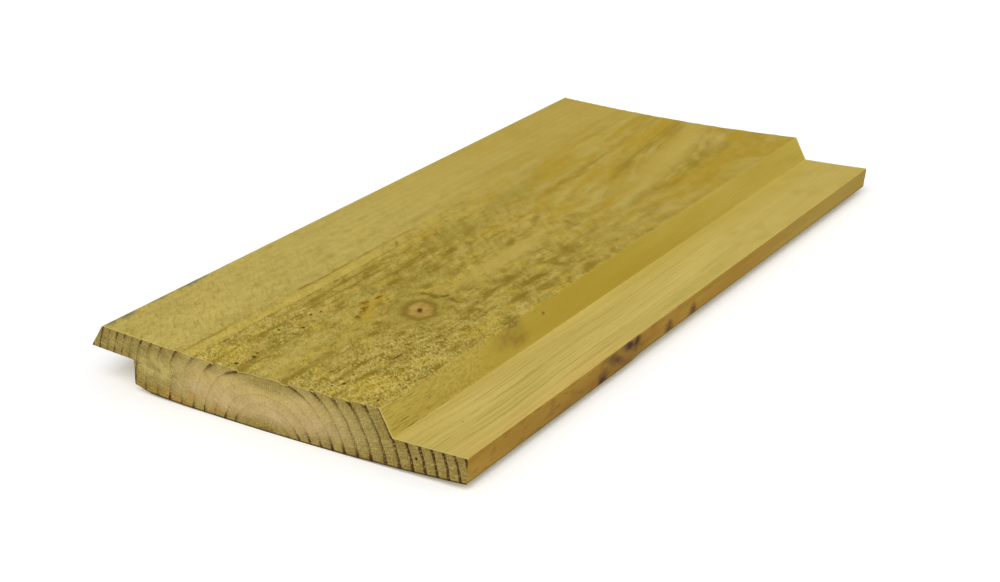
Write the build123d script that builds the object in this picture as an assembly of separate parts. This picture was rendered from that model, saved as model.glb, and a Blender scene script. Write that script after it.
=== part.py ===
from build123d import *

import os
from math import cos, sin

# Cladding board: one length of softwood, moulded along both edges so that boards lap, lying face up.
# X runs across the board from the lip to the tongue, Y along the grain and Z out of the face. Millimetres.

# The whole board
LENGTH = 275.0
WIDTH = 145.0  # from the lip's tip to the tongue's edge, as moulded flat
THICKNESS = 18.0
CUP = 2.5  # how far both edges have risen above the middle of the back as the wood dried

# The lip, which covers the tongue of the board beside it
LIP_THICKNESS = 8.0
LIP_REACH = 18.0  # from the lip's tip to the wall of the rebate under it
LIP_BEVEL = 5.0  # run of the slope from the face out to the lip's tip

# The relief planed off the back beside the rebate
RELIEF_RUN = 7.0
RELIEF_RISE = 1.5

# The tongue, which the lip of the board beside it covers
TONGUE_REACH = 26.0  # from the foot of the shoulder to the tongue's edge
TONGUE_ROOT = 9.25  # thickness at the foot of the shoulder
TONGUE_TIP = 8.25  # thickness at the edge
TONGUE_UNDERCUT = 1.5  # how far the edge leans in at the back
SHOULDER_RUN = 4.0  # run of the slope from the face down to the tongue

# Radius of the curve that the middle of the back takes when the edges rise by the cup
CUP_RADIUS = (WIDTH / 2) ** 2 / (2 * CUP) + CUP / 2


def cupped(across, height):
    """Where a point of the flat moulded section lies once the board has cupped towards its face."""
    turn = (across - WIDTH / 2) / CUP_RADIUS
    radius = CUP_RADIUS - height
    return Vector(radius * sin(turn), CUP_RADIUS - radius * cos(turn))


def cupped_face(start, end, height):
    """The arc that a flat face takes, from one distance across the board to another."""
    middle = (start + end) / 2
    return ThreePointArc(cupped(start, height), cupped(middle, height), cupped(end, height))


def board_section():
    """The section across the grain: face, shoulder and tongue, back, then rebate and lip."""
    shoulder_foot = WIDTH - TONGUE_REACH
    back_end = WIDTH - TONGUE_UNDERCUT
    lip_underside = THICKNESS - LIP_THICKNESS

    face = cupped_face(LIP_BEVEL, shoulder_foot - SHOULDER_RUN, THICKNESS)
    back = cupped_face(back_end, LIP_REACH + RELIEF_RUN, 0)
    tongue = Polyline(
        face @ 1,
        cupped(shoulder_foot, TONGUE_ROOT),
        cupped(WIDTH, TONGUE_TIP),
        back @ 0,
    )
    lip = Polyline(
        back @ 1,
        cupped(LIP_REACH, RELIEF_RISE),
        cupped(LIP_REACH, lip_underside),
        cupped(0, lip_underside),
        face @ 0,
    )
    return make_face([face, tongue, back, lip])


def cladding_board():
    """The section carried along the grain, set down with the origin under the middle of the board."""
    board = extrude(Plane.XZ * board_section(), amount=LENGTH / 2, both=True)
    box = board.bounding_box()
    return Pos(-box.center().X, 0, -box.min.Z) * board


os.makedirs("parts", exist_ok=True)
export_step(cladding_board(), "parts/cladding_board.step")
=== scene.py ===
from math import cos, exp, hypot, pi, radians, sin

import bmesh
import bpy
from mathutils import Matrix, Vector, noise
from mathutils.geometry import intersect_point_line


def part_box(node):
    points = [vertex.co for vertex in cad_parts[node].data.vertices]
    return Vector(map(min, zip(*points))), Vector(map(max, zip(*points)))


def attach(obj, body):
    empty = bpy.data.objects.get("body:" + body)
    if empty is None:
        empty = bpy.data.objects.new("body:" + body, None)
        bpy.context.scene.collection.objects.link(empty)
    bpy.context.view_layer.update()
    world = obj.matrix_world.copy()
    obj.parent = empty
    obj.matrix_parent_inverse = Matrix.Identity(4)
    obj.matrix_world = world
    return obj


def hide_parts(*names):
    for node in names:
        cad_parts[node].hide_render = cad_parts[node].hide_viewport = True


# Cladding board: one length of treated softwood with a sawn face, lying face up.
# The mesh is made in millimetres, flat as it was moulded, then sawn rough, cupped and scaled to metres.
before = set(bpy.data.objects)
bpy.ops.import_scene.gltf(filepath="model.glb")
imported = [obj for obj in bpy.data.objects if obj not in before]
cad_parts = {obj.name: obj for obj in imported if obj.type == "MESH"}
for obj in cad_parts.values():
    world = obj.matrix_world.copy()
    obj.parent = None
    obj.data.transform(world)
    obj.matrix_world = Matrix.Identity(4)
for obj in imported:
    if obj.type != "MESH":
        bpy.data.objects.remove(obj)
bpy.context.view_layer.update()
MM = 0.001

# The moulded section as it was before the wood cupped
WIDTH = 145.0
THICKNESS = 18.0
CUP = 2.5
LIP_THICKNESS = 8.0
LIP_REACH = 18.0
LIP_BEVEL = 5.0
RELIEF_RUN = 7.0
RELIEF_RISE = 1.5
TONGUE_REACH = 26.0
TONGUE_ROOT = 9.25
TONGUE_TIP = 8.25
TONGUE_UNDERCUT = 1.5
SHOULDER_RUN = 4.0
ARRIS = 0.3  # wear on the long edges

# Places that follow from the section
LIP_UNDERSIDE = THICKNESS - LIP_THICKNESS
SHOULDER_FOOT = WIDTH - TONGUE_REACH
SHOULDER_TOP = SHOULDER_FOOT - SHOULDER_RUN
CUP_RADIUS = (WIDTH / 2) ** 2 / (2 * CUP) + CUP / 2
BOARD_LOW, BOARD_HIGH = (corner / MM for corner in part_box("cladding_board"))
LENGTH = BOARD_HIGH.y - BOARD_LOW.y
NEAR_END = BOARD_LOW.y
SECTION = (
    (LIP_BEVEL, THICKNESS),
    (SHOULDER_TOP, THICKNESS),
    (SHOULDER_FOOT, TONGUE_ROOT),
    (WIDTH, TONGUE_TIP),
    (WIDTH - TONGUE_UNDERCUT, 0),
    (LIP_REACH + RELIEF_RUN, 0),
    (LIP_REACH, RELIEF_RISE),
    (LIP_REACH, LIP_UNDERSIDE),
    (0, LIP_UNDERSIDE),
)

# How finely the mesh is cut, so that the saw's work on the face is real relief
FACE_STEP = 0.62
PLANED_STEP = 1.0
BACK_STEP = 4.0
HEIGHT_STEP = 0.8
BACK_STRIP = 1.2  # the lowest strip of the ends, which the fine cuts leave alone
SNAP = 1e-5  # a cut this near to a vertex goes through it
WELD = 1e-3  # vertices nearer than this become one
SHARP = radians(30)  # an edge that turns by more than this isn't shaded smooth
LENGTH_STEPS = 256

# Growth rings, as the near end shows them: the pith lies under the back
PITH_ACROSS = 71.5
PITH_HEIGHT = -4.8
RING_WIDTH = 4.29
FIRST_RING = 10.3
RING_SWING = 1.5  # the rings crowd and spread by this much
RING_SPAN = 10.0  # over this change of radius
FLAT_TOP = 2.0  # how far the inner rings are flattened under the face
RING_WOBBLE = 0.25
FLAT_TOP_REACH = 13.0
CROWDED_FROM = 53.5  # by the lip the rings crowd past this radius
CROWDING = 0.27
LIP_BULGE = 2.2  # how far the rings by the lip bulge under the face
LIP_BULGE_RADIUS = 43.0
LIP_BULGE_REACH = 10.0
GRAIN_DRIFT = 20.0  # how far the grain leans towards the lip at the far end
DRIFT_ACROSS = 75.0
DRIFT_REACH = 25.0

# The knot in the face, by its place across and along the board
KNOT = Vector((83.2, -74.6))
KNOT_SIZE = (4.6, 6.1)
KNOT_TURN = radians(36)
KNOT_PITH_SIZE = (1.0, 2.1)
KNOT_REACH = 13.0  # how far from it the grain bends round it
KNOT_BEND = 0.62

# Pits that the saw left in the face: across, along, radius
PITS = (
    (58.5, -103.2, 0.8), (53.0, -108.3, 0.5), (57.8, -133.6, 0.8), (50.7, -126.0, 0.5),
    (59.5, -127.3, 0.8), (58.3, -124.6, 0.6), (54.4, -94.3, 0.6), (93.5, -131.7, 0.5),
    (95.4, -128.7, 0.7), (111.5, -133.0, 0.5), (106.5, -118.0, 0.4), (55.8, -90.9, 0.5),
)

# The saw crossed the face at this angle to the board's width
SAW_TURN = radians(-42)

# Relief of the sawn sides
FLAKE_LIFT = 0.4
SAW_MARK_LIFT = 0.05
SWELL_LIFT = 0.05
LATEWOOD_LIFT = 0.08
SCALLOP_DEPTH = 0.55
PIT_DEPTH = 0.5
FULL_SHADE_DEPTH = 0.3  # a hollow as deep as this gets the full painted shade
SPRINGWOOD_SINK = 0.10
END_ROUGHNESS = 0.05

# A shallow wane on the lower arris of the tongue, from its start along the board
WANE_START = -48.0
WANE_FULL = -38.0
WANE_RISE = 0.6


def cupped(across, height):
    """Where a point of the flat moulded section lies once the board has cupped towards its face."""
    turn = (across - WIDTH / 2) / CUP_RADIUS
    radius = CUP_RADIUS - height
    return radius * sin(turn), CUP_RADIUS - radius * cos(turn)


ACROSS_SHIFT = BOARD_LOW.x - cupped(0, LIP_UNDERSIDE)[0]


def on_board(across, along, height=THICKNESS):
    """A place on the cupped board, from its place on the flat one."""
    x, z = cupped(across, height)
    return Vector((x + ACROSS_SHIFT, along, z))


# Mesh of the board, flat

def section_face(bm):
    """The near end as one flat face, with its corners worn to the arris."""
    bm.faces.new([bm.verts.new((across, NEAR_END, height)) for across, height in SECTION])
    bmesh.ops.bevel(
        bm, geom=bm.verts[:], offset=ARRIS, offset_type="OFFSET", affect="VERTICES",
        segments=2, profile=0.5, material=-1,
    )


def steps(start, end, size):
    """Evenly spaced places between two ends, about a size apart, without the ends."""
    count = max(1, round((end - start) / size))
    return [start + (end - start) * i / count for i in range(1, count)]


def with_edges(faces):
    """Faces with their edges and vertices, as an operator wants them."""
    parts = set(faces)
    for face in faces:
        parts.update(face.edges, face.verts)
    return list(parts)


def cut(bm, faces, place, direction):
    """Cuts some faces along a plane."""
    bmesh.ops.bisect_plane(bm, geom=with_edges(faces), dist=SNAP, plane_co=place, plane_no=direction)


def cut_columns(bm, places, keep):
    """Cuts the end face upright at each place across the board, where keep holds for a face's height."""
    for across in places:
        chosen = [face for face in bm.faces if keep(face.calc_center_median().z)]
        cut(bm, chosen, (across, 0, 0), (1, 0, 0))


def moved(bm, parts, vec):
    """Moves the vertices among some parts."""
    verts = [part for part in parts if isinstance(part, bmesh.types.BMVert)]
    bmesh.ops.translate(bm, verts=verts, vec=vec)


def moulded_board():
    """The flat board as a closed mesh of fine squares on the face and coarse ones on the back."""
    bm = bmesh.new()
    section_face(bm)
    cut(bm, bm.faces[:], (0, 0, BACK_STRIP), (0, 0, 1))
    fine = [*steps(0, LIP_BEVEL, PLANED_STEP), LIP_BEVEL + ARRIS]
    fine += steps(LIP_BEVEL + ARRIS, SHOULDER_TOP - ARRIS, FACE_STEP)
    fine += [SHOULDER_TOP - ARRIS, *steps(SHOULDER_TOP, WIDTH, PLANED_STEP)]
    cut_columns(bm, fine, lambda height: height > BACK_STRIP)
    cut_columns(bm, steps(LIP_REACH, WIDTH, BACK_STEP), lambda height: height < BACK_STRIP)
    for height in steps(BACK_STRIP, THICKNESS, HEIGHT_STEP):
        cut(bm, bm.faces[:], (0, 0, height), (0, 0, 1))

    rim = [edge for edge in bm.edges if edge.is_boundary]
    far_end = bmesh.ops.duplicate(bm, geom=with_edges(bm.faces[:]))["geom"]
    moved(bm, far_end, (0, LENGTH, 0))
    sides = bmesh.ops.extrude_edge_only(bm, edges=rim)["geom"]
    moved(bm, sides, (0, LENGTH, 0))
    long_edges = [edge for edge in bm.edges if edge.calc_length() > LENGTH / 2]
    bmesh.ops.subdivide_edges(bm, edges=long_edges, cuts=LENGTH_STEPS - 1, use_grid_fill=True)
    bmesh.ops.remove_doubles(bm, verts=bm.verts[:], dist=WELD)
    bmesh.ops.recalc_face_normals(bm, faces=bm.faces[:])
    return bm


# Grain and sawn relief

def ease(value, start, end):
    """From 0 at start to 1 at end, with soft ends. Start may be the larger."""
    t = min(max((value - start) / (end - start), 0.0), 1.0)
    return t * t * (3 - 2 * t)


def bump_at(distance, reach):
    """1 at no distance, falling softly to 0 past a reach."""
    return exp(-(distance / reach) ** 2)


def grain_noise(across, along, width, length, seed):
    """Noise between about -1 and 1, in patches of a width and a length."""
    return noise.noise(Vector((across / width, along / length, seed)))


def grain_across(across, along, height):
    """Where the fibre at a place would lie across the board if the grain were straight."""
    from_knot = Vector((across, along)) - KNOT
    bend = KNOT_BEND * bump_at(from_knot.length, KNOT_REACH) * ease(height, 6, 15) * from_knot.x
    far = max(along / (LENGTH / 2), 0)
    drift = GRAIN_DRIFT * far ** 2 * bump_at(across - DRIFT_ACROSS, DRIFT_REACH)
    past = along - NEAR_END
    foot = 2.3 * ease(past, 5, 45) + ease(past, 75, 105)
    tip = 0.8 * sin(pi * min(past / 60, 1))
    out = ease(across, SHOULDER_FOOT, WIDTH)
    wave = (foot + (tip - foot) * out) * ease(across, 105, SHOULDER_FOOT)
    wave += 0.4 * grain_noise(across, along, 60, 45, 3.1) * ease(past, 0, 25)
    wave += 0.3 * grain_noise(across, along, 30, 7, 8.3) * ease(past, 0, 10)
    return across - bend + drift - wave


def ring_count(grain, along, height):
    """How many rings lie between the first ring and a place."""
    across = grain - PITH_ACROSS
    radius = hypot(across, height - PITH_HEIGHT)
    radius += RING_WOBBLE * noise.noise(Vector((grain / 4, along / 60, height / 4)))
    radius += FLAT_TOP * bump_at(across, FLAT_TOP_REACH) * ease(height, 6, THICKNESS)
    if across < 0:
        crowded = CROWDING * max(radius - CROWDED_FROM, 0)
        bulge = LIP_BULGE * bump_at(radius - LIP_BULGE_RADIUS, LIP_BULGE_REACH)
        radius += crowded - bulge * ease(height, 8, 14)
    past = radius - FIRST_RING
    return (past + RING_SWING * sin(past / RING_SPAN)) / RING_WIDTH


def latewood(count):
    """How dense and dark the wood is across each ring, from 0 in spring's growth to 1 at its end."""
    share = count % 1.0
    return ease(share, 0.55, 0.95) * ease(share, 1.0, 0.985)


def torn(across, along, grain):
    """How badly the saw tore the face's fibres, from 0 to 1."""
    edge = 0.75 * ease(across, 80, 97) * (0.15 + 0.85 * ease(along, 15, -75))
    middle = 0.6 * bump_at(across - 52, 8) * ease(along, -45, -95)
    front = 0.3 * ease(across, 76, 82) * ease(along, -88, -108)
    rim = 0.45 * ease(along, NEAR_END + 10, NEAR_END) * ease(across, 5, 40)
    streaks = 0.5 * grain_noise(grain, along, 3.2, 60, 5.5)
    streaks += 0.35 * grain_noise(grain, along, 6, 13, 7.4)
    calm = bump_at((Vector((across, along)) - KNOT).length, 9)
    base = 0.08 + 0.14 * ease(along, 0, -80)
    tear = base + edge + middle + front + rim + streaks * ease(along, 60, -60) * ease(across, 30, 46)
    return min(max(tear, 0.04), 1.0) * (1 - 0.8 * calm)


def face_relief(across, along, tear, late):
    """How far the sawn face stands above its flat level."""
    with_saw = across * cos(SAW_TURN) + along * sin(SAW_TURN)
    past_saw = along * cos(SAW_TURN) - across * sin(SAW_TURN)
    fine = 0.4 * grain_noise(with_saw, past_saw, 2.0, 1.0, 1.7)
    fine += 0.45 * grain_noise(with_saw, past_saw, 1.3, 0.8, 6.2)
    lumps = 0.65 * grain_noise(across, along, 3.2, 4.6, 7.7)
    flakes = tear * (lumps + fine * (0.25 + 0.75 * ease(along, -55, -115)))
    saw_marks = SAW_MARK_LIFT * grain_noise(with_saw, past_saw, 5.0, 1.2, 9.9) * ease(along, 60, -60)
    swell = SWELL_LIFT * grain_noise(across, along, 8, 40, 2.2)
    pits = sum(PIT_DEPTH * bump_at(hypot(across - a, along - b), size) for a, b, size in PITS)
    rim = ease(along, NEAR_END + 3, NEAR_END) * ease(across, 30, 50)
    scallops = rim * (0.25 * grain_noise(across, along, 1.8, 6, 4.4) - SCALLOP_DEPTH * late ** 2)
    rings = LATEWOOD_LIFT * (late - 0.5)
    return FLAKE_LIFT * flakes + saw_marks + swell + rings + scallops - pits


def depth_below(across, height):
    """How deep a place of the section lies below the nearest moulded side."""
    place = Vector((across, height))
    deepest = THICKNESS
    for start, end in zip(SECTION, SECTION[1:] + SECTION[:1]):
        nearest, share = intersect_point_line(place, Vector(start), Vector(end))
        if 0 <= share <= 1:
            deepest = min(deepest, (place - nearest).length)
    return deepest


def sawn_and_cupped(bm):
    """Roughens the face and the ends, keeps what the finishes need to know, then bends the board."""
    layers = bm.verts.layers.float
    grain_layer, rings, tear_layer, hollow, depth_layer, height_layer = (
        layers.new(name) for name in ("grain", "rings", "torn", "hollow", "depth", "height")
    )
    for vert in bm.verts:
        across, along, height = vert.co
        grain = grain_across(across, along, height)
        count = ring_count(grain, along, height)
        late = latewood(count)
        vert[grain_layer] = grain
        vert[rings] = count
        vert[height_layer] = height
        if height > THICKNESS - ARRIS / 4:
            tear = torn(across, along, grain)
            lift = face_relief(across, along, tear, late)
            vert[tear_layer] = tear
            # how far the relief sinks here, for the painted shade in its hollows
            vert[hollow] = min(max(-lift / FULL_SHADE_DEPTH, 0.0), 1.0)
            vert.co.z += lift
        at_end = abs(along) > LENGTH / 2 - WELD
        if at_end:
            vert[depth_layer] = depth_below(across, height)
            rough = 1 + noise.noise(Vector((across / 0.9, height / 0.9, along)))
            sunk = SPRINGWOOD_SINK * (1 - late) + END_ROUGHNESS * rough
            vert.co.y -= sunk * (1 if along > 0 else -1)
        if height < TONGUE_TIP / 2:
            at_edge = ease(across, WIDTH - 6, WIDTH - 2)
            vert.co.z += WANE_RISE * ease(along, WANE_START, WANE_FULL) * at_edge
    for vert in bm.verts:
        inside = on_board(vert.co.x, vert.co.y, vert.co.z)
        for axis in range(3):
            inside[axis] = min(max(inside[axis], BOARD_LOW[axis]), BOARD_HIGH[axis])
        vert.co = inside


# Finishes

def colour(red, green, blue):
    """A colour as a screen shows it, from 0 to 255, as the light that a finish works with."""
    def light(value):
        share = value / 255
        return share / 12.92 if share <= 0.04045 else ((share + 0.055) / 1.055) ** 2.4
    return light(red), light(green), light(blue), 1.0


ANY = 1e4  # a size that takes in the whole board
RAGGED_SCALE = 0.6  # of the noise that makes the rims of patches ragged
RAGGED_REACH = 2.0  # how far it moves the rim of a patch
RAGGED_GRAIN_REACH = 1.2  # how far it moves the side of a band
NOISE_LOW = 0.25  # noise seldom falls below this
NOISE_HIGH = 0.75  # or rises above this
END_HIGHLIGHT_REACH = 0.8  # how far from the ends the painted highlight on their arrises starts


class Finish:
    """A material with short calls for its nodes. Any input may be a value or another node's output."""

    def __init__(self, name, shine=0.02):
        self.material = bpy.data.materials.new(name)
        self.material.use_nodes = True
        self.tree = self.material.node_tree
        self.shader = self.tree.nodes["Principled BSDF"]
        self.shader.inputs["Specular IOR Level"].default_value = shine
        spot = self.node("ShaderNodeTexCoord").outputs["Object"]
        self.place = self.vector("SCALE", {0: spot, "Scale": 1 / MM})
        self.x, self.y, self.z = self.node("ShaderNodeSeparateXYZ", {0: self.place}).outputs
        straight = {"X": self.told("grain"), "Y": self.y, "Z": self.z}
        self.grain = self.node("ShaderNodeCombineXYZ", straight).outputs[0]
        inputs = {"Vector": self.place, "Scale": RAGGED_SCALE, "Detail": 2}
        wander = self.node("ShaderNodeTexNoise", inputs).outputs["Color"]
        parts = self.node("ShaderNodeSeparateColor", {0: wander}).outputs
        wander = self.node("ShaderNodeCombineXYZ", dict(enumerate(parts))).outputs[0]
        wander = self.vector("SUBTRACT", {0: wander, 1: (0.5, 0.5, 0.5)})
        self.ragged = self.moved(self.place, wander, RAGGED_REACH)
        self.ragged_grain = self.moved(self.grain, wander, RAGGED_GRAIN_REACH)

    def node(self, kind, inputs=None, **settings):
        made = self.tree.nodes.new(kind)
        for name, value in settings.items():
            setattr(made, name, value)
        for key, value in (inputs or {}).items():
            self.put(made.inputs[key], value)
        return made

    def put(self, socket, value):
        if isinstance(value, bpy.types.NodeSocket):
            self.tree.links.new(value, socket)
        else:
            socket.default_value = value

    def vector(self, operation, inputs):
        return self.node("ShaderNodeVectorMath", inputs, operation=operation).outputs[0]

    def moved(self, place, offset, reach):
        """A place moved by an offset times a reach."""
        return self.vector("MULTIPLY_ADD", {0: offset, 1: (reach, reach, reach), 2: place})

    def math(self, operation, *values):
        return self.node("ShaderNodeMath", dict(enumerate(values)), operation=operation).outputs[0]

    def times(self, *values):
        total = values[0]
        for value in values[1:]:
            total = self.math("MULTIPLY", total, value)
        return total

    def most(self, masks):
        """The strongest of some masks."""
        total = None
        for mask in masks:
            total = mask if total is None else self.math("MAXIMUM", total, mask)
        return total

    def ease(self, value, start, end):
        inputs = {"Value": value, "From Min": start, "From Max": end}
        return self.node("ShaderNodeMapRange", inputs, interpolation_type="SMOOTHSTEP").outputs[0]

    def between(self, share, first, last):
        """From a first value where a share is 0 to a last one where it is 1."""
        return self.math("MULTIPLY_ADD", share, last - first, first)

    def blend(self, share, first, last):
        """From a first tint where a share is 0 to a last one where it is 1."""
        return self.node("ShaderNodeMix", {0: share, 6: first, 7: last}, data_type="RGBA").outputs[2]

    def stain(self, tint, top, *shares):
        """A tint with another laid over it, as strongly as some shares multiplied."""
        return self.blend(self.times(*shares), tint, top)

    def noise(self, width, length, height=None, detail=2.0, rough=0.5, place=None, warp=0.0, turn=0.0):
        """Noise in patches of a width across the board, a length along it and a height."""
        size = (width, length, height or width)
        inputs = {"Vector": place or self.place, "Scale": size, "Rotation": (0, 0, turn)}
        scaled = self.node("ShaderNodeMapping", inputs, vector_type="TEXTURE").outputs[0]
        inputs = {"Vector": scaled, "Scale": 1.0, "Detail": detail}
        inputs.update({"Roughness": rough, "Distortion": warp})
        return self.node("ShaderNodeTexNoise", inputs).outputs["Fac"]

    def told(self, name):
        """What the mesh keeps under a name."""
        return self.node("ShaderNodeAttribute", attribute_name=name).outputs["Fac"]

    def late(self, start, dark):
        """Latewood, from 0 to 1, across each growth ring."""
        share = self.math("FRACT", self.told("rings"))
        return self.times(self.ease(share, start, dark), self.ease(share, 1.0, 0.985))

    def distance(self, centre, size, turn=0.0, place=None, tilt=0.0):
        """How far a place is from a centre, in shares of a size across, along and up."""
        offset = self.vector("SUBTRACT", {0: place or self.ragged, 1: centre})
        if turn or tilt:
            inputs = {"Vector": offset, "Rotation": (tilt, 0, turn)}
            turned = self.node("ShaderNodeVectorRotate", inputs, rotation_type="EULER_XYZ", invert=True)
            offset = turned.outputs[0]
        offset = self.vector("DIVIDE", {0: offset, 1: size})
        return self.node("ShaderNodeVectorMath", {0: offset}, operation="LENGTH").outputs["Value"]

    def spot(self, centre, size, turn=0.0, soft=0.6):
        """A patch with a ragged rim: 1 in its middle and 0 outside its size."""
        return self.ease(self.distance(centre, size, turn), 1.0, 1.0 - soft)

    def face_spot(self, across, along, half_width, half_length, turn=0.0, soft=0.6):
        """A patch on the sawn face, by its place on the flat board."""
        return self.spot(on_board(across, along), (half_width, half_length, ANY), radians(turn), soft)

    def face_spots(self, patches, soft):
        """The strongest of some patches on the sawn face."""
        return self.most(self.face_spot(*patch, soft=soft) for patch in patches)

    def side_spot(self, along, height, half_length, half_height, tilt=0.0, soft=0.9):
        """A patch on the shoulder or the tongue's edge, tilted by some degrees."""
        away = self.distance((0, along, height), (ANY, half_length, half_height), tilt=radians(tilt))
        return self.ease(away, 1.0, 1.0 - soft)

    def end_spot(self, across, height, half_width, half_height, soft):
        """A patch on the sawn ends, by its place from the middle of the board."""
        return self.spot((across, 0, height), (half_width, ANY, half_height), soft=soft)

    def band(self, across, start, end, half_width):
        """A soft band along the grain, between two places along the board."""
        centre = (across, (start + end) / 2, 0)
        away = self.distance(centre, (half_width, (end - start) / 2, ANY), place=self.ragged_grain)
        return self.ease(away, 1.0, 0.1)

    def bands(self, places):
        """The strongest of some bands along the grain."""
        return self.most(self.band(*place) for place in places)

    def end_arris_highlight(self):
        """Where a highlight is painted along the arrises at the sawn ends, as a worn arris would catch
        the light.
        """
        return self.ease(self.math("ABSOLUTE", self.y), LENGTH / 2 - END_HIGHLIGHT_REACH, LENGTH / 2 - END_HIGHLIGHT_REACH / 4)

    def paint(self, tint):
        self.put(self.shader.inputs["Base Color"], tint)

    def roughen(self, share, low, high):
        """Roughness between two values."""
        inputs = {"Value": share, "To Min": low, "To Max": high}
        inputs.update({"From Min": NOISE_LOW, "From Max": NOISE_HIGH})
        self.put(self.shader.inputs["Roughness"], self.node("ShaderNodeMapRange", inputs).outputs[0])

    def bump(self, height, depth):
        """Relief too fine for the mesh, with its depth in millimetres."""
        inputs = {"Height": height, "Distance": depth * MM, "Strength": 1.0}
        self.put(self.shader.inputs["Normal"], self.node("ShaderNodeBump", inputs).outputs[0])


# Bands along the grain of the face: across, from and to along the board, half width
DARK_BANDS = (
    (38.4, -200, 55, 1.1), (51.4, -190, -5, 1.7), (61.2, -180, -85, 2.6), (79.0, -175, -92, 2.0),
    (91.8, -150, -78, 1.6), (98.0, -160, -78, 2.2), (56.5, -85, 10, 3.2), (66.0, -74, -15, 3.4),
    (61.8, 10, 115, 3.6), (76.8, 35, 155, 5.5), (97.7, 25, 145, 5.0), (47.0, -110, -20, 1.0),
    (95.0, -75, -20, 3.6), (103.0, -62, 8, 3.6),
)
PALE_BANDS = ((42.0, -195, -5, 2.4), (26.0, -180, -60, 10.0), (69.5, -155, -90, 5.5))
SMOOTH_BANDS = ((82.3, -68, 22, 8.0), (89.5, 20, 185, 8.5))

# Patches on the face: across, along, half width, half length, turn in degrees
BROWN_PATCHES = (
    (46.5, -67.3, 1.4, 3.4, 40), (81.0, -96.5, 2.0, 4.0, 0), (110.5, -94.0, 2.4, 4.2, 0),
    (113.6, -106.8, 2.6, 3.2, 0), (112.4, -17.5, 3.8, 8.0, 5), (101.5, -36.0, 2.4, 9.0, 0),
    (93.8, -39.5, 3.2, 7.0, 0), (76.2, -12.0, 2.2, 6.0, 22), (71.0, 12.5, 2.0, 7.0, 20),
    (83.5, 15.0, 5.5, 1.8, -25), (104.2, 40.3, 4.0, 14.0, 12), (93.3, 47.4, 3.2, 15.0, 15),
    (71.5, 74.0, 4.0, 17.0, 12), (115.0, -67.5, 2.0, 6.0, 0), (41.8, -32.5, 0.9, 3.6, 40),
    (98.0, -8.0, 4.0, 10.0, 10), (88.7, -91.5, 1.6, 2.2, -30), (77.5, -89.5, 1.8, 3.0, -20),
    (62.0, -60.0, 2.4, 6.0, 0), (62.0, -28.0, 2.0, 8.0, 8), (48.5, -84.0, 2.0, 9.0, 0),
    (106.0, -52.0, 2.2, 8.0, 0), (96.6, -91.6, 1.4, 1.8, -30), (100.0, -73.0, 1.8, 3.4, -20),
    (98.2, -66.5, 1.6, 3.0, -30), (90.3, -63.5, 1.5, 3.0, -55), (64.2, 126.0, 5.0, 18.0, 10),
    (93.0, 116.0, 4.5, 12.0, 10),
)
BROW = (
    (76.6, -63.0, 3.2, 1.7, 15), (80.6, -63.2, 3.8, 1.8, -20), (83.2, -61.4, 3.2, 1.7, 40),
    (87.4, -62.4, 3.2, 1.6, -20),
)
AMBER_PATCHES = (
    (103, 85, 16, 55, 8), (60, -58, 2, 9, 5), (58, 108, 9, 30, 8), (45.5, -20, 3, 16, 4),
    (95, 72, 5, 12, 10),
)
GREEN_PATCHES = ((66, -48, 10, 27, 0), (54, -14, 9, 24, 0), (71, -104, 5, 20, 0), (50, 30, 7, 26, 0))
GOLD_PATCHES = (
    (105, -128, 13, 22, 0), (51, -130, 9, 16, 0), (109, -80, 7, 20, 0), (41.5, -105, 3, 45, 0),
)
RESIN = (
    (69.1, -88.4, 1.9, 3.0, 25), (66.8, -82.5, 1.9, 6.5, 25), (63.8, -78.5, 2.0, 3.0, 0),
    (65.2, -72.5, 1.4, 3.0, 0),
)
RESIN_GLOW = ((71.0, -86.5, 4.0, 7.0, 15), (66.0, -79.0, 3.6, 8.0, 15), (65.2, -72.5, 2.6, 4.5, 10))
BLUE_STAINS = (
    (5.4, -97.0, 2.2, 10.0, 0), (5.6, -127.0, 2.3, 6.5, 0), (5.4, -133.8, 2.4, 4.0, 0),
    (5.2, -112.0, 1.5, 9.0, 0),
)
CRACK = (98.5, -106.0, 0.4, 3.6)  # across, along, half width, half length
GOLD_STRIP = (38.7, 44.0)  # its sides across the board
CALM_SIDE = -32  # where the calm wood by the lip ends, from the middle of the board

FACE_PALE = colour(183, 164, 88)
FACE_YELLOW = colour(191, 171, 91)
FACE_DEEP = colour(170, 149, 69)
FACE_WARM = colour(173, 148, 66)
FACE_GOLD = colour(188, 160, 56)
STRIP_GOLD = colour(197, 171, 80)
FACE_AMBER = colour(170, 141, 45)
FACE_BROWN = colour(131, 108, 34)
FACE_GREEN = colour(150, 136, 58)
FACE_SMOOTH = colour(182, 160, 80)
# Torn fibres: a painted highlight, and painted shade in the gaps and hollows between them
FIBRE_HIGHLIGHT = colour(204, 186, 106)
FIBRE_GAP_SHADE = colour(98, 77, 22)
PIT_DARK = colour(58, 42, 12)
BROW_BROWN = colour(106, 84, 26)
KNOT_WOOD = colour(162, 132, 60)
KNOT_PALE = colour(176, 148, 78)
KNOT_RIM = colour(128, 104, 40)
KNOT_PITH = colour(78, 54, 22)
RESIN_BROWN = colour(112, 78, 20)
RESIN_YELLOW = colour(180, 148, 44)
STAIN_BLUE = colour(104, 108, 84)


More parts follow.
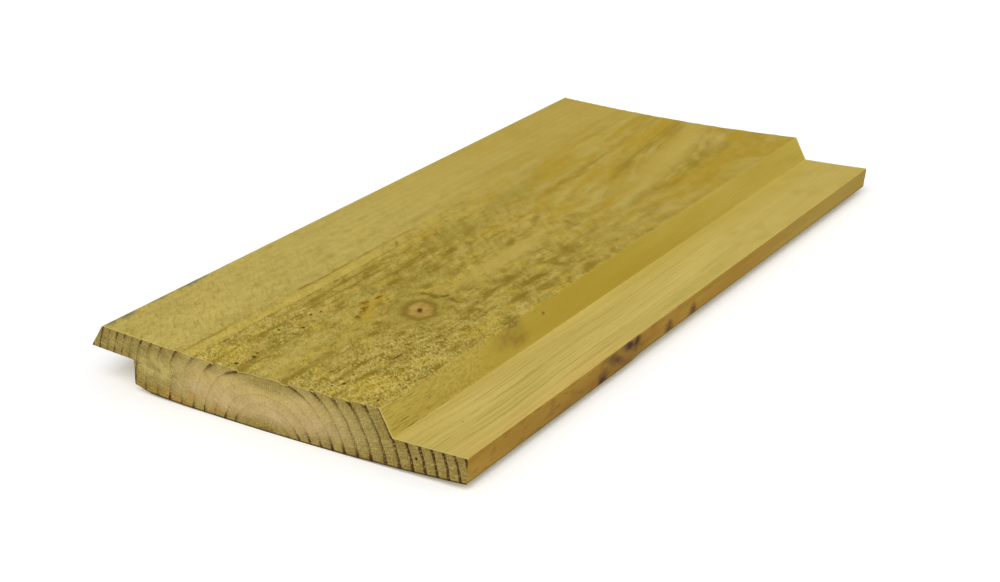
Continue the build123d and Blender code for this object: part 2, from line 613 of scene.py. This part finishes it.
def face_wood(f):
    """The wood of the face under its torn fibres: calm by the lip and far along, and lively between."""
    soft = f.between(f.ease(f.y, -45, 40), 6, 17)
    past_calm = f.ease(f.x, f.math("SUBTRACT", CALM_SIDE, soft), f.math("ADD", CALM_SIDE, soft))
    tint = f.blend(past_calm, FACE_PALE, FACE_DEEP)
    warm = f.times(f.ease(f.y, -40, 80), f.between(past_calm, 0.6, 0.85))
    tint = f.blend(warm, tint, FACE_WARM)
    cloud = f.noise(12, 26, detail=2)
    far_off = f.ease(f.y, -20, 50)
    tint = f.stain(tint, FACE_DEEP, f.ease(cloud, 0.5, 0.68), far_off, 0.5)
    tint = f.stain(tint, FACE_PALE, f.ease(cloud, 0.48, 0.34), far_off, 0.4)
    past_lip = f.between(past_calm, 0.2, 1.0)
    lively = f.times(past_lip, f.between(f.ease(f.y, 50, -30), 0.25, 1.0))
    olive = f.noise(8, 20, detail=2, place=f.grain, warp=0.4)
    tint = f.stain(tint, FACE_GREEN, f.ease(olive, 0.52, 0.68), lively, 0.7)
    gold = f.noise(4.5, 11, detail=2, place=f.grain, warp=0.4)
    tint = f.stain(tint, FACE_GOLD, f.ease(gold, 0.53, 0.68), lively, 0.6)
    lump = f.noise(2.2, 5, detail=2, rough=0.6, place=f.grain, warp=0.3)
    tint = f.stain(tint, FACE_BROWN, f.ease(lump, 0.47, 0.32), lively, 0.5)
    tint = f.stain(tint, FACE_PALE, f.ease(lump, 0.54, 0.68), lively, 0.5)
    mottle = f.noise(3.6, 8, detail=2, place=f.grain, warp=0.4)
    tint = f.stain(tint, FACE_BROWN, f.ease(mottle, 0.47, 0.34), lively, 0.6)
    tint = f.stain(tint, FACE_YELLOW, f.ease(mottle, 0.55, 0.68), lively, 0.5)
    stripe = f.noise(5.5, 26, detail=2, place=f.grain, warp=0.5)
    far = f.times(past_lip, far_off)
    tint = f.stain(tint, FACE_AMBER, f.ease(stripe, 0.5, 0.66), far, 0.8)
    tint = f.stain(tint, FACE_PALE, f.ease(stripe, 0.48, 0.34), far, 0.6)
    streak = f.noise(0.9, 60, detail=3, rough=0.6, place=f.grain)
    clear = f.between(past_calm, 0.4, 1.0)
    fading = f.times(clear, f.between(f.ease(f.y, 60, -60), 0.08, 0.34))
    tint = f.stain(tint, FACE_BROWN, f.ease(streak, 0.52, 0.7), fading)

    tint = f.stain(tint, FACE_GOLD, f.face_spots(GOLD_PATCHES, 0.9), 0.55)
    tint = f.stain(tint, FACE_AMBER, f.face_spots(AMBER_PATCHES, 0.9), 0.6)
    tint = f.stain(tint, FACE_GREEN, f.face_spots(GREEN_PATCHES, 0.9), 0.55)
    return f.stain(tint, FACE_YELLOW, f.bands(PALE_BANDS), 0.6)


def gold_strip(f, tint):
    """A straight golden strip along the calm wood, with a thin dark line beside it."""
    left, right = (on_board(side, 0).x for side in GOLD_STRIP)
    grain = f.math("ADD", f.told("grain"), left - GOLD_STRIP[0])
    strip = f.times(f.ease(grain, left, left + 0.7), f.ease(grain, right, right - 0.7))
    fading = f.ease(f.y, 10, -60)
    tint = f.stain(tint, STRIP_GOLD, strip, fading, 0.4)
    beside = f.math("SUBTRACT", grain, right + 0.3)
    line = f.ease(f.math("ABSOLUTE", beside), 0.7, 0.1)
    broken = f.ease(f.noise(2, 12, detail=2), 0.3, 0.6)
    return f.stain(tint, FACE_BROWN, line, broken, fading, 0.5)


def saw_flecks(f, tint):
    """Short flecks along the saw's cut, clearest past the lip's calm wood and near the end."""
    near = f.ease(f.y, 50, -65)
    strength = f.most((f.times(near, f.ease(f.x, -36, -20)), f.times(f.ease(f.y, -50, -120), 0.55)))
    flecks = f.noise(4.5, 1.3, detail=2, rough=0.6, turn=SAW_TURN)
    tint = f.stain(tint, FACE_BROWN, f.ease(flecks, 0.45, 0.3), strength, 0.45)
    tint = f.stain(tint, FACE_YELLOW, f.ease(flecks, 0.55, 0.7), strength, 0.4)
    broad = f.noise(9, 3.2, detail=1, turn=SAW_TURN)
    past_lip = f.between(f.ease(f.x, -36, -20), 0.25, 1.0)
    along = f.between(f.ease(f.y, 50, -20), 0.2, 1.0)
    middle = f.times(past_lip, along, f.ease(f.y, -110, -50))
    tint = f.stain(tint, FACE_BROWN, f.ease(broad, 0.48, 0.36), middle, 0.3)
    tint = f.stain(tint, FACE_YELLOW, f.ease(broad, 0.54, 0.66), middle, 0.25)
    calm = f.times(f.ease(f.x, -20, -40), f.ease(f.y, -30, -115))
    dashes = f.noise(5.0, 0.9, detail=2, turn=SAW_TURN)
    tint = f.stain(tint, FACE_BROWN, f.ease(dashes, 0.44, 0.3), calm, 0.36)
    return f.stain(tint, FIBRE_HIGHLIGHT, f.ease(dashes, 0.56, 0.7), calm, 0.32)


def torn_fibres(f, tint):
    """Torn fibres painted pale as a highlight, with painted shade in the gaps between them, finest where
    the saw came in.
    """
    near = f.ease(f.y, 10, -75)
    close = f.between(f.ease(f.y, -55, -115), 0.25, 1.0)
    tear = f.times(f.told("torn"), f.between(near, 0.25, 1.0))
    clump = f.noise(2.0, 3.2, detail=2, rough=0.55)
    # The sawn relief shows little under soft light, so its light and shade are painted: a highlight on
    # the fibres and shade in the gaps
    tint = f.stain(tint, FIBRE_HIGHLIGHT, f.ease(clump, 0.53, 0.68), tear, 0.42)
    loose = f.between(tear, 0.1, 0.95)
    tint = f.stain(tint, FIBRE_GAP_SHADE, f.ease(clump, 0.46, 0.3), loose, 0.34)
    fibre = f.noise(1.35, 0.65, detail=2, rough=0.6, turn=SAW_TURN)
    tint = f.stain(tint, FIBRE_HIGHLIGHT, f.ease(fibre, 0.51, 0.64), tear, close, 0.85)
    tint = f.stain(tint, FIBRE_GAP_SHADE, f.ease(fibre, 0.45, 0.32), tear, close, 0.6)
    past_lip = f.between(f.ease(f.x, -40, -20), 0.2, 0.7)
    specks = f.times(f.ease(f.noise(1.4, 0.5, detail=1, turn=SAW_TURN), 0.37, 0.26), near)
    tint = f.stain(tint, FIBRE_GAP_SHADE, specks, past_lip)
    # Painted shade in the hollows of the sawn relief
    return f.stain(tint, FIBRE_GAP_SHADE, f.told("hollow"), 0.4)


def grain_bands(f, tint):
    """Smooth pale bands along the grain, and dark ones that are broken here and there."""
    tint = f.stain(tint, FACE_SMOOTH, f.bands(SMOOTH_BANDS), 0.78)
    dark = f.bands(DARK_BANDS)
    broken = f.ease(f.noise(2.5, 12, detail=3, place=f.grain), 0.34, 0.6)
    strength = f.between(f.ease(f.y, 40, -60), 0.5, 0.8)
    return f.stain(tint, FACE_BROWN, dark, broken, strength)


def knot_and_marks(f, tint):
    """The knot, the resin beside it, and what the saw and the weather left."""
    brown = f.face_spots(BROWN_PATCHES, 0.8)
    strength = f.between(f.ease(f.y, 40, -20), 0.3, 0.78)
    tint = f.stain(tint, FACE_BROWN, brown, strength)
    tint = f.stain(tint, BROW_BROWN, f.face_spots(BROW, 0.8), 0.75)
    tint = f.stain(tint, RESIN_YELLOW, f.face_spots(RESIN_GLOW, 0.9), 0.65)
    resin = f.face_spots(RESIN, 0.9)
    patchy = f.ease(f.noise(0.9, 1.4, detail=2), 0.35, 0.6)
    tint = f.stain(tint, RESIN_BROWN, resin, f.between(patchy, 0.3, 1.0))
    tint = f.stain(tint, STAIN_BLUE, f.face_spots(BLUE_STAINS, 0.9), 0.8)

    from_knot = f.distance(on_board(*KNOT), (*KNOT_SIZE, ANY), KNOT_TURN)
    from_knot = f.times(from_knot, f.between(f.noise(4.5, 4.5, detail=1), 0.75, 1.25))
    tint = f.stain(tint, FACE_GREEN, f.ease(from_knot, 2.6, 1.4), 0.4)
    broken = f.ease(f.noise(4, 4), 0.45, 0.65)
    inner_ring = f.times(f.ease(from_knot, 1.85, 2.1), f.ease(from_knot, 2.45, 2.2))
    outer_ring = f.times(f.ease(from_knot, 2.6, 2.9), f.ease(from_knot, 3.3, 3.0), 0.4)
    tint = f.stain(tint, FACE_BROWN, f.most((inner_ring, outer_ring)), broken, 0.5)
    tint = f.stain(tint, KNOT_RIM, f.ease(from_knot, 1.6, 1.12), 0.82)
    heart = f.blend(f.ease(f.noise(3, 3), 0.4, 0.65), KNOT_WOOD, KNOT_PALE)
    tint = f.blend(f.ease(from_knot, 1.1, 0.7), tint, heart)
    from_pith = f.distance(on_board(*KNOT), (*KNOT_PITH_SIZE, ANY), KNOT_TURN, place=f.place)
    tint = f.stain(tint, KNOT_PITH, f.ease(from_pith, 1.3, 0.4), 0.9)

    across, along, half_width, half_length = CRACK
    crack = f.distance(on_board(across, along), (half_width, half_length, ANY), place=f.place)
    tint = f.stain(tint, PIT_DARK, f.ease(crack, 1.0, 0.5), 0.85)
    pits = f.most(
        f.ease(f.distance(on_board(across, along), (size, size, ANY), place=f.place), 1.1, 0.4)
        for across, along, size in PITS
    )
    return f.stain(tint, PIT_DARK, pits, 0.95)


def sawn_face_finish():
    """Rough from the saw: torn yellow fibres with a painted highlight and painted shade in the gaps,
    brown bands along the grain and one knot.
    """
    f = Finish("sawn_face", shine=0.0)
    tint = torn_fibres(f, saw_flecks(f, gold_strip(f, face_wood(f))))
    tint = knot_and_marks(f, grain_bands(f, tint))
    # Painted highlight along the arris at the ends
    f.paint(f.stain(tint, FIBRE_HIGHLIGHT, f.end_arris_highlight(), 0.5))
    fine = f.noise(0.5, 0.8, detail=3)
    f.roughen(fine, 0.75, 0.95)
    f.bump(f.times(fine, f.between(f.ease(f.y, 0, -90), 0.3, 1.0)), 0.15)
    return f.material


def planed_wood(f, pale, deep, line, strength):
    """Planed wood: fine fibres along the board and low lines where the rings come to the surface."""
    fibres = f.noise(0.5, 24, detail=3, rough=0.6, place=f.grain)
    broad = f.noise(6, 60, detail=2, place=f.grain)
    tint = f.blend(f.ease(broad, 0.3, 0.7), pale, deep)
    tint = f.stain(tint, line, f.ease(fibres, 0.5, 0.72), 0.35)
    broken = f.ease(f.noise(3, 12, detail=3), 0.25, 0.6)
    tint = f.stain(tint, line, f.late(0.72, 0.94), broken, strength)
    f.roughen(fibres, 0.55, 0.75)
    f.bump(fibres, 0.04)
    return tint


# Painted highlight along the arrises at the ends
ARRIS_HIGHLIGHT = colour(206, 190, 116)

TONGUE_DOT = (SHOULDER_FOOT + 11.3, -119, TONGUE_ROOT)  # across, along, height
TONGUE_DOT_SIZE = (0.35, 0.5, ANY)
TONGUE_PALE = colour(197, 176, 97)
TONGUE_DEEP = colour(187, 166, 88)
TONGUE_LINE = colour(152, 130, 60)
TONGUE_HAIRLINE = colour(164, 142, 68)
TONGUE_FLECK = colour(160, 138, 64)
TONGUE_FAR = colour(180, 158, 79)
TONGUE_CLOUD = colour(172, 149, 68)
TONGUE_ORANGE = colour(197, 163, 90)
TONGUE_FOOT = colour(182, 160, 70)


def tongue_finish():
    """The planed tongue: the palest side, with low growth lines."""
    f = Finish("planed_tongue")
    shown = f.between(f.ease(f.y, -25, -85), 0.25, 0.55)
    from_foot = f.between(f.ease(f.x, 47, 55), 0.35, 1.0)
    lines = f.times(shown, f.ease(f.y, 80, -10), from_foot)
    tint = planed_wood(f, TONGUE_PALE, TONGUE_DEEP, TONGUE_LINE, lines)
    hairlines = f.ease(f.noise(0.9, 70, detail=1, place=f.grain), 0.52, 0.62)
    tint = f.stain(tint, TONGUE_HAIRLINE, hairlines, f.math("ADD", lines, 0.12), 0.5)
    tint = f.stain(tint, TONGUE_FLECK, f.ease(f.noise(0.4, 2.5, detail=2), 0.42, 0.3), 0.3)
    tint = f.stain(tint, TONGUE_FAR, f.ease(f.y, 0, 120), 0.6)
    cloud = f.noise(9, 16, detail=2)
    tint = f.stain(tint, TONGUE_CLOUD, f.ease(cloud, 0.5, 0.7), f.ease(f.y, -20, 60), 0.55)
    tint = f.stain(tint, TONGUE_ORANGE, f.ease(f.x, 63, 71), f.ease(f.y, -20, -80), 0.4)
    tint = f.stain(tint, TONGUE_FOOT, f.ease(f.x, 57, 47), f.ease(f.y, -90, 60), 0.45)
    tint = f.stain(tint, PIT_DARK, f.spot(on_board(*TONGUE_DOT), TONGUE_DOT_SIZE), 0.8)
    # Painted highlight along the arris at the ends
    f.paint(f.stain(tint, ARRIS_HIGHLIGHT, f.end_arris_highlight(), 0.5))
    return f.material


# Patches on the shoulder: along, height, half length, half height
SHOULDER_MIDDLE_PATCH = (-25, 13, 85, ANY)
SHOULDER_SMUDGES = ((-73, 15.8, 13, 4.0), (-69, 13.6, 8, 3.0))
SHOULDER_RUB = (-69, 18.2, 7, 1.6)
SHOULDER_DOT = (-53.2, 16.1, 0.9, 0.8)

SHOULDER_PALE = colour(177, 157, 71)
SHOULDER_DEEP = colour(169, 147, 59)
SHOULDER_LINE = colour(154, 130, 48)
SHOULDER_NEAR = colour(178, 158, 78)
SHOULDER_MIDDLE = colour(164, 140, 46)
CUTTER_DASH = colour(116, 94, 32)
RIPPLE_DARK = colour(140, 118, 44)
RIPPLE_PALE = colour(192, 172, 84)
SMUDGE_BROWN = colour(124, 98, 42)
RUB_DARK = colour(96, 74, 44)


def shoulder_finish():
    """The planed slope above the tongue: deeper in colour, with short cutter dashes near its end."""
    f = Finish("planed_shoulder")
    lines = f.times(f.ease(f.y, 40, -40), 0.2)
    tint = planed_wood(f, SHOULDER_PALE, SHOULDER_DEEP, SHOULDER_LINE, lines)
    tint = f.stain(tint, SHOULDER_NEAR, f.ease(f.y, -60, -115), 0.4)
    tint = f.stain(tint, SHOULDER_MIDDLE, f.side_spot(*SHOULDER_MIDDLE_PATCH), 0.75)
    dashes = f.times(f.ease(f.noise(0.18, 5.5, 0.2, detail=2), 0.445, 0.36), f.ease(f.y, -104, -118))
    tint = f.stain(tint, CUTTER_DASH, dashes, 0.85)
    ripple_zone = f.times(f.ease(f.y, -80, -92), f.ease(f.y, -122, -108))
    ripples = f.noise(1.0, 1.6, 0.7, detail=2)
    tint = f.stain(tint, RIPPLE_DARK, f.ease(ripples, 0.5, 0.35), ripple_zone, 0.4)
    tint = f.stain(tint, RIPPLE_PALE, f.ease(ripples, 0.52, 0.66), ripple_zone, 0.3)
    smudge = f.most(f.side_spot(*patch, soft=0.95) for patch in SHOULDER_SMUDGES)
    rubbed = f.between(f.ease(f.noise(1.6, 3.2, 1.6, detail=2), 0.35, 0.65), 0.35, 0.65)
    tint = f.stain(tint, SMUDGE_BROWN, smudge, rubbed)
    rub = f.side_spot(*SHOULDER_RUB)
    dot = f.side_spot(*SHOULDER_DOT, soft=0.6)
    tint = f.stain(tint, RUB_DARK, f.most((rub, dot)), 0.6)
    lifted = f.math("MULTIPLY_ADD", f.noise(2, 4, 2, detail=2), 6, f.told("height"))
    frayed = f.times(f.ease(lifted, 20.0, 20.8), f.ease(f.y, 0, -100))
    fibre = f.blend(f.ease(f.noise(1.2, 0.7, detail=2), 0.4, 0.6), FACE_BROWN, FACE_YELLOW)
    tint = f.stain(tint, fibre, frayed, 0.6)
    # Painted highlight along the arris at the ends
    f.paint(f.stain(tint, ARRIS_HIGHLIGHT, f.end_arris_highlight(), 0.6))
    return f.material


# Patches on the tongue's edge: along, height, half length, half height. The stains also tilt, in degrees.
EDGE_STAINS = (
    (-64.2, 3.4, 4.6, 5.8, 0), (-56.5, 7.4, 10.0, 2.6, -24), (-48.0, 9.0, 8.0, 2.8, -20),
    (-43.5, 8.4, 3.6, 4.4, 0), (-21.5, 4.8, 4.4, 3.6, 0), (-5.5, 3.4, 4.2, 6.0, 0),
)
EDGE_RUST = (
    (-67.6, 4.6, 3.6, 3.0), (-16.2, 5.0, 6.0, 2.2), (-32.0, 7.6, 7.0, 3.0), (-53.0, 5.2, 6.0, 2.4),
)
EDGE_HAZE_PATCH = (-68, 7, 66, ANY)
EDGE_MIDDLE_PATCH = (-53, 7, 22, 10)

EDGE_PALE = colour(166, 132, 56)
EDGE_DEEP = colour(156, 121, 48)
EDGE_LINE = colour(126, 92, 36)
EDGE_FAR = colour(160, 137, 64)
EDGE_HAZE = colour(106, 72, 36)
EDGE_BLOTCH = colour(112, 78, 38)
EDGE_MIDDLE = colour(104, 76, 42)
EDGE_ORANGE = colour(166, 108, 44)
EDGE_DARK = colour(70, 46, 40)
# Painted contact shadow along the foot of the tongue's edge
EDGE_CONTACT_SHADOW = colour(78, 56, 32)


def edge_finish():
    """The tongue's edge: orange-brown, with dark stains smeared over its middle."""
    f = Finish("planed_edge")
    tint = planed_wood(f, EDGE_PALE, EDGE_DEEP, EDGE_LINE, 0.25)
    tint = f.stain(tint, EDGE_FAR, f.ease(f.y, 10, 110), 0.7)
    lower = f.between(f.ease(f.told("height"), 7.5, 2.0), 0.04, 0.38)
    haze = f.times(f.side_spot(*EDGE_HAZE_PATCH), lower)
    tint = f.blend(haze, tint, EDGE_HAZE)
    blotches = f.times(f.ease(f.noise(3, 6, 2.4, detail=2), 0.5, 0.66), f.ease(f.y, 20, -50))
    tint = f.stain(tint, EDGE_BLOTCH, blotches, 0.35)
    tint = f.stain(tint, EDGE_MIDDLE, f.side_spot(*EDGE_MIDDLE_PATCH), 0.28)
    rust = f.most(f.side_spot(*patch) for patch in EDGE_RUST)
    tint = f.stain(tint, EDGE_ORANGE, rust, 0.42)
    stained = f.most(f.side_spot(*patch) for patch in EDGE_STAINS)
    smeared = f.ease(f.noise(3, 4.5, 2.2, detail=2), 0.3, 0.65)
    tint = f.stain(tint, EDGE_DARK, stained, f.between(smeared, 0.56, 0.98))
    # Painted contact shadow along the lower arris of the edge
    tint = f.stain(tint, EDGE_CONTACT_SHADOW, f.ease(f.told("height"), 1.0, 0.2), 0.7)
    f.paint(tint)
    return f.material


BACK_PALE = colour(190, 170, 94)
BACK_DEEP = colour(178, 157, 82)
BACK_LINE = colour(148, 126, 60)


def back_finish():
    """The back, the rebate and the lip's bevel, planed and plain."""
    f = Finish("planed_back")
    f.paint(planed_wood(f, BACK_PALE, BACK_DEEP, BACK_LINE, 0.5))
    return f.material


# Patches on the sawn ends: across from the middle, height, half width, half height, softness
HEART_PATCH = (-3, 8.8, 44, 12, 0.5)
PITH_SHADE = (-3, 1, 12, 5, 0.8)
CROWN_SHADE = (1, 16, 15, 3.4, 0.6)
SOAKED_PATCH = (-44, 10.5, 14, 6, 0.8)
SEEP_PATCH = (-33, 3, 22, 3.4, 0.8)
FAINT_RING_PATCHES = ((-22, 9.2, 44, 7.2, 0.55), (-2, 1, 11, 6, 0.4), (1, 15, 14, 4, 0.5))

END_SAP = colour(164, 147, 88)
END_SAP_DEEP = colour(138, 123, 69)
END_HEART = colour(184, 161, 114)
END_HEART_DEEP = colour(173, 149, 102)
END_HEART_YELLOW = colour(181, 157, 86)
END_RIM = colour(128, 104, 48)
END_GREEN = colour(184, 166, 98)
END_ORANGE = colour(178, 134, 60)
END_SHADE = colour(112, 86, 44)
END_LINE = colour(66, 48, 28)
END_SPECK = colour(204, 186, 108)
# Painted contact shadow along the bottom of the ends
END_CONTACT_SHADOW = colour(60, 44, 28)
WORM_HOLE = (54.0, 6.0, 0.6)  # across the board from its middle, height, radius


def end_grain_finish():
    """The sawn ends: olive rings round an untreated heart, pinkish below and yellow above."""
    f = Finish("end_grain", shine=0.0)
    depth = f.told("depth")
    skin = f.ease(depth, 5.0, 0.5)
    blotch = f.noise(5, 5, detail=3)
    sap = f.blend(f.ease(blotch, 0.35, 0.65), END_SAP, END_SAP_DEEP)
    heart = f.blend(f.ease(blotch, 0.35, 0.65), END_HEART, END_HEART_DEEP)
    untreated = f.times(f.end_spot(*HEART_PATCH), f.ease(depth, 0.5, 4.0))
    height = f.told("height")
    heart = f.stain(heart, END_HEART_YELLOW, f.ease(height, 7, 13), 0.5)
    tint = f.blend(untreated, sap, heart)
    tint = f.stain(tint, END_SAP_DEEP, f.end_spot(*PITH_SHADE), 0.8)
    tint = f.stain(tint, END_SAP_DEEP, f.end_spot(*CROWN_SHADE), 0.6)
    outer = f.most((f.times(f.ease(f.x, 12, 54), 0.95), f.times(f.ease(f.x, -32, -56), 0.95)))
    tint = f.blend(outer, tint, END_SAP_DEEP)
    upper_rim = f.times(f.ease(depth, 5.0, 1.0), f.between(f.ease(f.x, 8, 26), 0.35, 1.0))
    rim = f.most((f.ease(height, 6.5, 1.0), upper_rim))
    sides = f.most((f.times(f.ease(f.x, -26, -44), 0.36), f.times(f.ease(f.x, 20, 38), 0.1)))
    darkest = f.math("ADD", sides, 0.44)
    tint = f.stain(tint, END_RIM, rim, darkest)
    patchy = f.ease(f.noise(4, 4, detail=2), 0.36, 0.56)
    soaked = f.times(patchy, f.end_spot(*SOAKED_PATCH))
    tint = f.stain(tint, END_GREEN, soaked, 0.75)
    seep = f.times(f.end_spot(*SEEP_PATCH), f.ease(blotch, 0.4, 0.6))
    tint = f.stain(tint, END_ORANGE, seep, 0.65)

    pith = on_board(PITH_ACROSS, 0, PITH_HEIGHT)
    angle = f.math("ARCTAN2", f.math("SUBTRACT", f.z, pith.z), f.math("SUBTRACT", f.x, pith.x))
    spokes = {"X": f.times(angle, 120), "Y": f.times(f.told("rings"), 0.8)}
    rays = f.noise(1, 1, detail=2, place=f.node("ShaderNodeCombineXYZ", spokes).outputs[0])
    tint = f.stain(tint, END_SPECK, f.ease(rays, 0.5, 0.7), 0.25)
    tint = f.stain(tint, END_LINE, f.ease(rays, 0.5, 0.3), 0.2)

    faint = [f.end_spot(*patch) for patch in FAINT_RING_PATCHES]
    first_rings = f.times(f.ease(f.told("rings"), 5.3, 4.7), f.ease(depth, 3, 6))
    core = f.most((*faint, first_rings))
    inside = f.between(f.ease(f.x, 32, 54), 0.4, 0.95)
    year = f.math("SINE", f.times(f.math("FLOOR", f.told("rings")), 2.3))
    right = f.ease(f.x, -5, 40)
    uneven = f.times(year, f.between(right, 0.3, 0.06))
    growth = f.math("ADD", uneven, f.between(right, 0.74, 1.04))
    outside = f.between(core, 1.0, 0.32)
    visible = f.times(f.most((inside, f.times(skin, 0.95))), outside, growth)
    tint = f.stain(tint, END_SHADE, f.late(0.45, 0.97), visible, 0.75)
    start = f.math("MULTIPLY_ADD", skin, -0.12, f.between(right, 0.83, 0.77))
    late = f.late(start, f.math("ADD", start, 0.13))
    tint = f.stain(tint, END_LINE, late, visible)

    speck = f.noise(0.4, 0.4, detail=2)
    tint = f.stain(tint, END_SPECK, f.ease(speck, 0.55, 0.7), 0.45)
    tint = f.stain(tint, END_LINE, f.ease(speck, 0.41, 0.28), 0.35)
    # Painted contact shadow along the lowest strip of the ends
    tint = f.stain(tint, END_CONTACT_SHADOW, f.ease(height, 0.8, 0.2), 0.85)
    across, up, radius = WORM_HOLE
    hole = f.distance((across, 0, up), (radius, ANY, radius), place=f.place)
    tint = f.blend(f.ease(hole, 1.1, 0.5), tint, PIT_DARK)
    f.paint(tint)
    f.roughen(speck, 0.75, 0.9)
    f.bump(speck, 0.08)
    return f.material


# The board

END, FACE, TONGUE, SHOULDER, EDGE, PLANED = range(6)
FINISHES = (
    end_grain_finish, sawn_face_finish, tongue_finish, shoulder_finish, edge_finish, back_finish,
)

FACING = 0.9  # how much of a side's direction lies along an axis that it faces
LEANING = 0.2  # and along one that it only leans to


def which_finish(face):
    """The finish of one side of the flat board."""
    middle = face.calc_center_median()
    normal = face.normal
    if abs(normal.y) > FACING:
        return END
    if normal.z > FACING:
        return FACE if middle.x < SHOULDER_TOP else TONGUE
    if normal.x > LEANING and middle.z > TONGUE_TIP:
        return SHOULDER
    if normal.x > FACING and middle.x > SHOULDER_FOOT:
        return EDGE
    return PLANED


def make_board():
    bm = moulded_board()
    for face in bm.faces:
        face.material_index = which_finish(face)
        face.smooth = True
    for edge in bm.edges:
        edge.smooth = edge.calc_face_angle() < SHARP
    sawn_and_cupped(bm)
    bmesh.ops.scale(bm, vec=(MM, MM, MM), verts=bm.verts[:])
    mesh = bpy.data.meshes.new("board")
    bm.to_mesh(mesh)
    bm.free()
    board = bpy.data.objects.new("board", mesh)
    bpy.context.scene.collection.objects.link(board)
    for finish in FINISHES:
        mesh.materials.append(finish())
    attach(board, "root")
    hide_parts("cladding_board")


# Floor, light and camera

FLOOR_SIZE = 12.0
FLOOR_TINT = (0.92, 0.92, 0.92, 1.0)
FLOOR_LIFT = 0.10  # what the camera adds to the floor so that it shows white
ROOM_LIGHT = 0.45
LAMPS = (  # name, direction that it comes from, spread in degrees, strength
    ("key_lamp", (0.25, -0.62, 0.75), 50, 2.25),
    ("fill_lamp", (0.90, 0.05, 0.42), 70, 0.5),
)

CAMERA_PLACE = (0.32387, -0.48802, 0.24356)
CAMERA_AZIMUTH = radians(34.341)
CAMERA_ELEVATION = radians(22.992)
CAMERA_ROLL = radians(-1.965)
CAMERA_LENS = 64.267
SENSOR_WIDTH = 36.0


def background_share(tree):
    """1 where the camera, a reflection or glass sees a surface, and 0 where it only lights the board."""
    path = tree.nodes.new("ShaderNodeLightPath")
    share = path.outputs["Is Camera Ray"]
    for ray in ("Is Glossy Ray", "Is Transmission Ray"):
        either = tree.nodes.new("ShaderNodeMath")
        either.operation = "MAXIMUM"
        tree.links.new(share, either.inputs[0])
        tree.links.new(path.outputs[ray], either.inputs[1])
        share = either.outputs[0]
    return share


def make_floor():
    bm = bmesh.new()
    bmesh.ops.create_grid(bm, x_segments=1, y_segments=1, size=FLOOR_SIZE / 2)
    mesh = bpy.data.meshes.new("floor")
    bm.to_mesh(mesh)
    bm.free()
    floor = bpy.data.objects.new("floor", mesh)
    bpy.context.scene.collection.objects.link(floor)
    material = bpy.data.materials.new("pale_floor")
    material.use_nodes = True
    tree = material.node_tree
    shader = tree.nodes["Principled BSDF"]
    shader.inputs["Base Color"].default_value = FLOOR_TINT
    shader.inputs["Roughness"].default_value = 1.0
    shader.inputs["Specular IOR Level"].default_value = 0.0
    shader.inputs["Emission Color"].default_value = (1, 1, 1, 1)
    lift = tree.nodes.new("ShaderNodeMath")
    lift.operation = "MULTIPLY"
    lift.inputs[1].default_value = FLOOR_LIFT
    tree.links.new(background_share(tree), lift.inputs[0])
    tree.links.new(lift.outputs[0], shader.inputs["Emission Strength"])
    mesh.materials.append(material)


def make_room():
    """A soft white room that shows white behind the board."""
    world = bpy.data.worlds.new("white_room")
    bpy.context.scene.world = world
    world.use_nodes = True
    tree = world.node_tree
    room = tree.nodes["Background"]
    room.inputs["Color"].default_value = (1, 1, 1, 1)
    strength = tree.nodes.new("ShaderNodeMix")
    strength.inputs["A"].default_value = ROOM_LIGHT
    strength.inputs["B"].default_value = 1.0
    tree.links.new(background_share(tree), strength.inputs["Factor"])
    tree.links.new(strength.outputs["Result"], room.inputs["Strength"])


def make_lamp(name, source, spread, strength):
    """A wide soft lamp, far enough away to light the board and the floor evenly."""
    lamp = bpy.data.lights.new(name, "SUN")
    lamp.angle = radians(spread)
    lamp.energy = strength
    holder = bpy.data.objects.new(name, lamp)
    holder.location = source
    holder.rotation_euler = (-Vector(source)).to_track_quat("-Z", "Y").to_euler()
    bpy.context.scene.collection.objects.link(holder)


def make_camera():
    data = bpy.data.cameras.new("camera")
    data.lens = CAMERA_LENS
    data.sensor_width = SENSOR_WIDTH
    data.sensor_fit = "HORIZONTAL"
    data.clip_start = 0.01
    camera = bpy.data.objects.new("camera", data)
    turn = Matrix.Rotation(CAMERA_AZIMUTH, 4, "Z") @ Matrix.Rotation(pi / 2 - CAMERA_ELEVATION, 4, "X")
    camera.matrix_world = Matrix.Translation(CAMERA_PLACE) @ turn @ Matrix.Rotation(CAMERA_ROLL, 4, "Z")
    bpy.context.scene.collection.objects.link(camera)
    bpy.context.scene.camera = camera


make_board()
make_floor()
make_room()
for lamp_values in LAMPS:
    make_lamp(*lamp_values)
make_camera()
bpy.context.scene.view_settings.view_transform = "Standard"
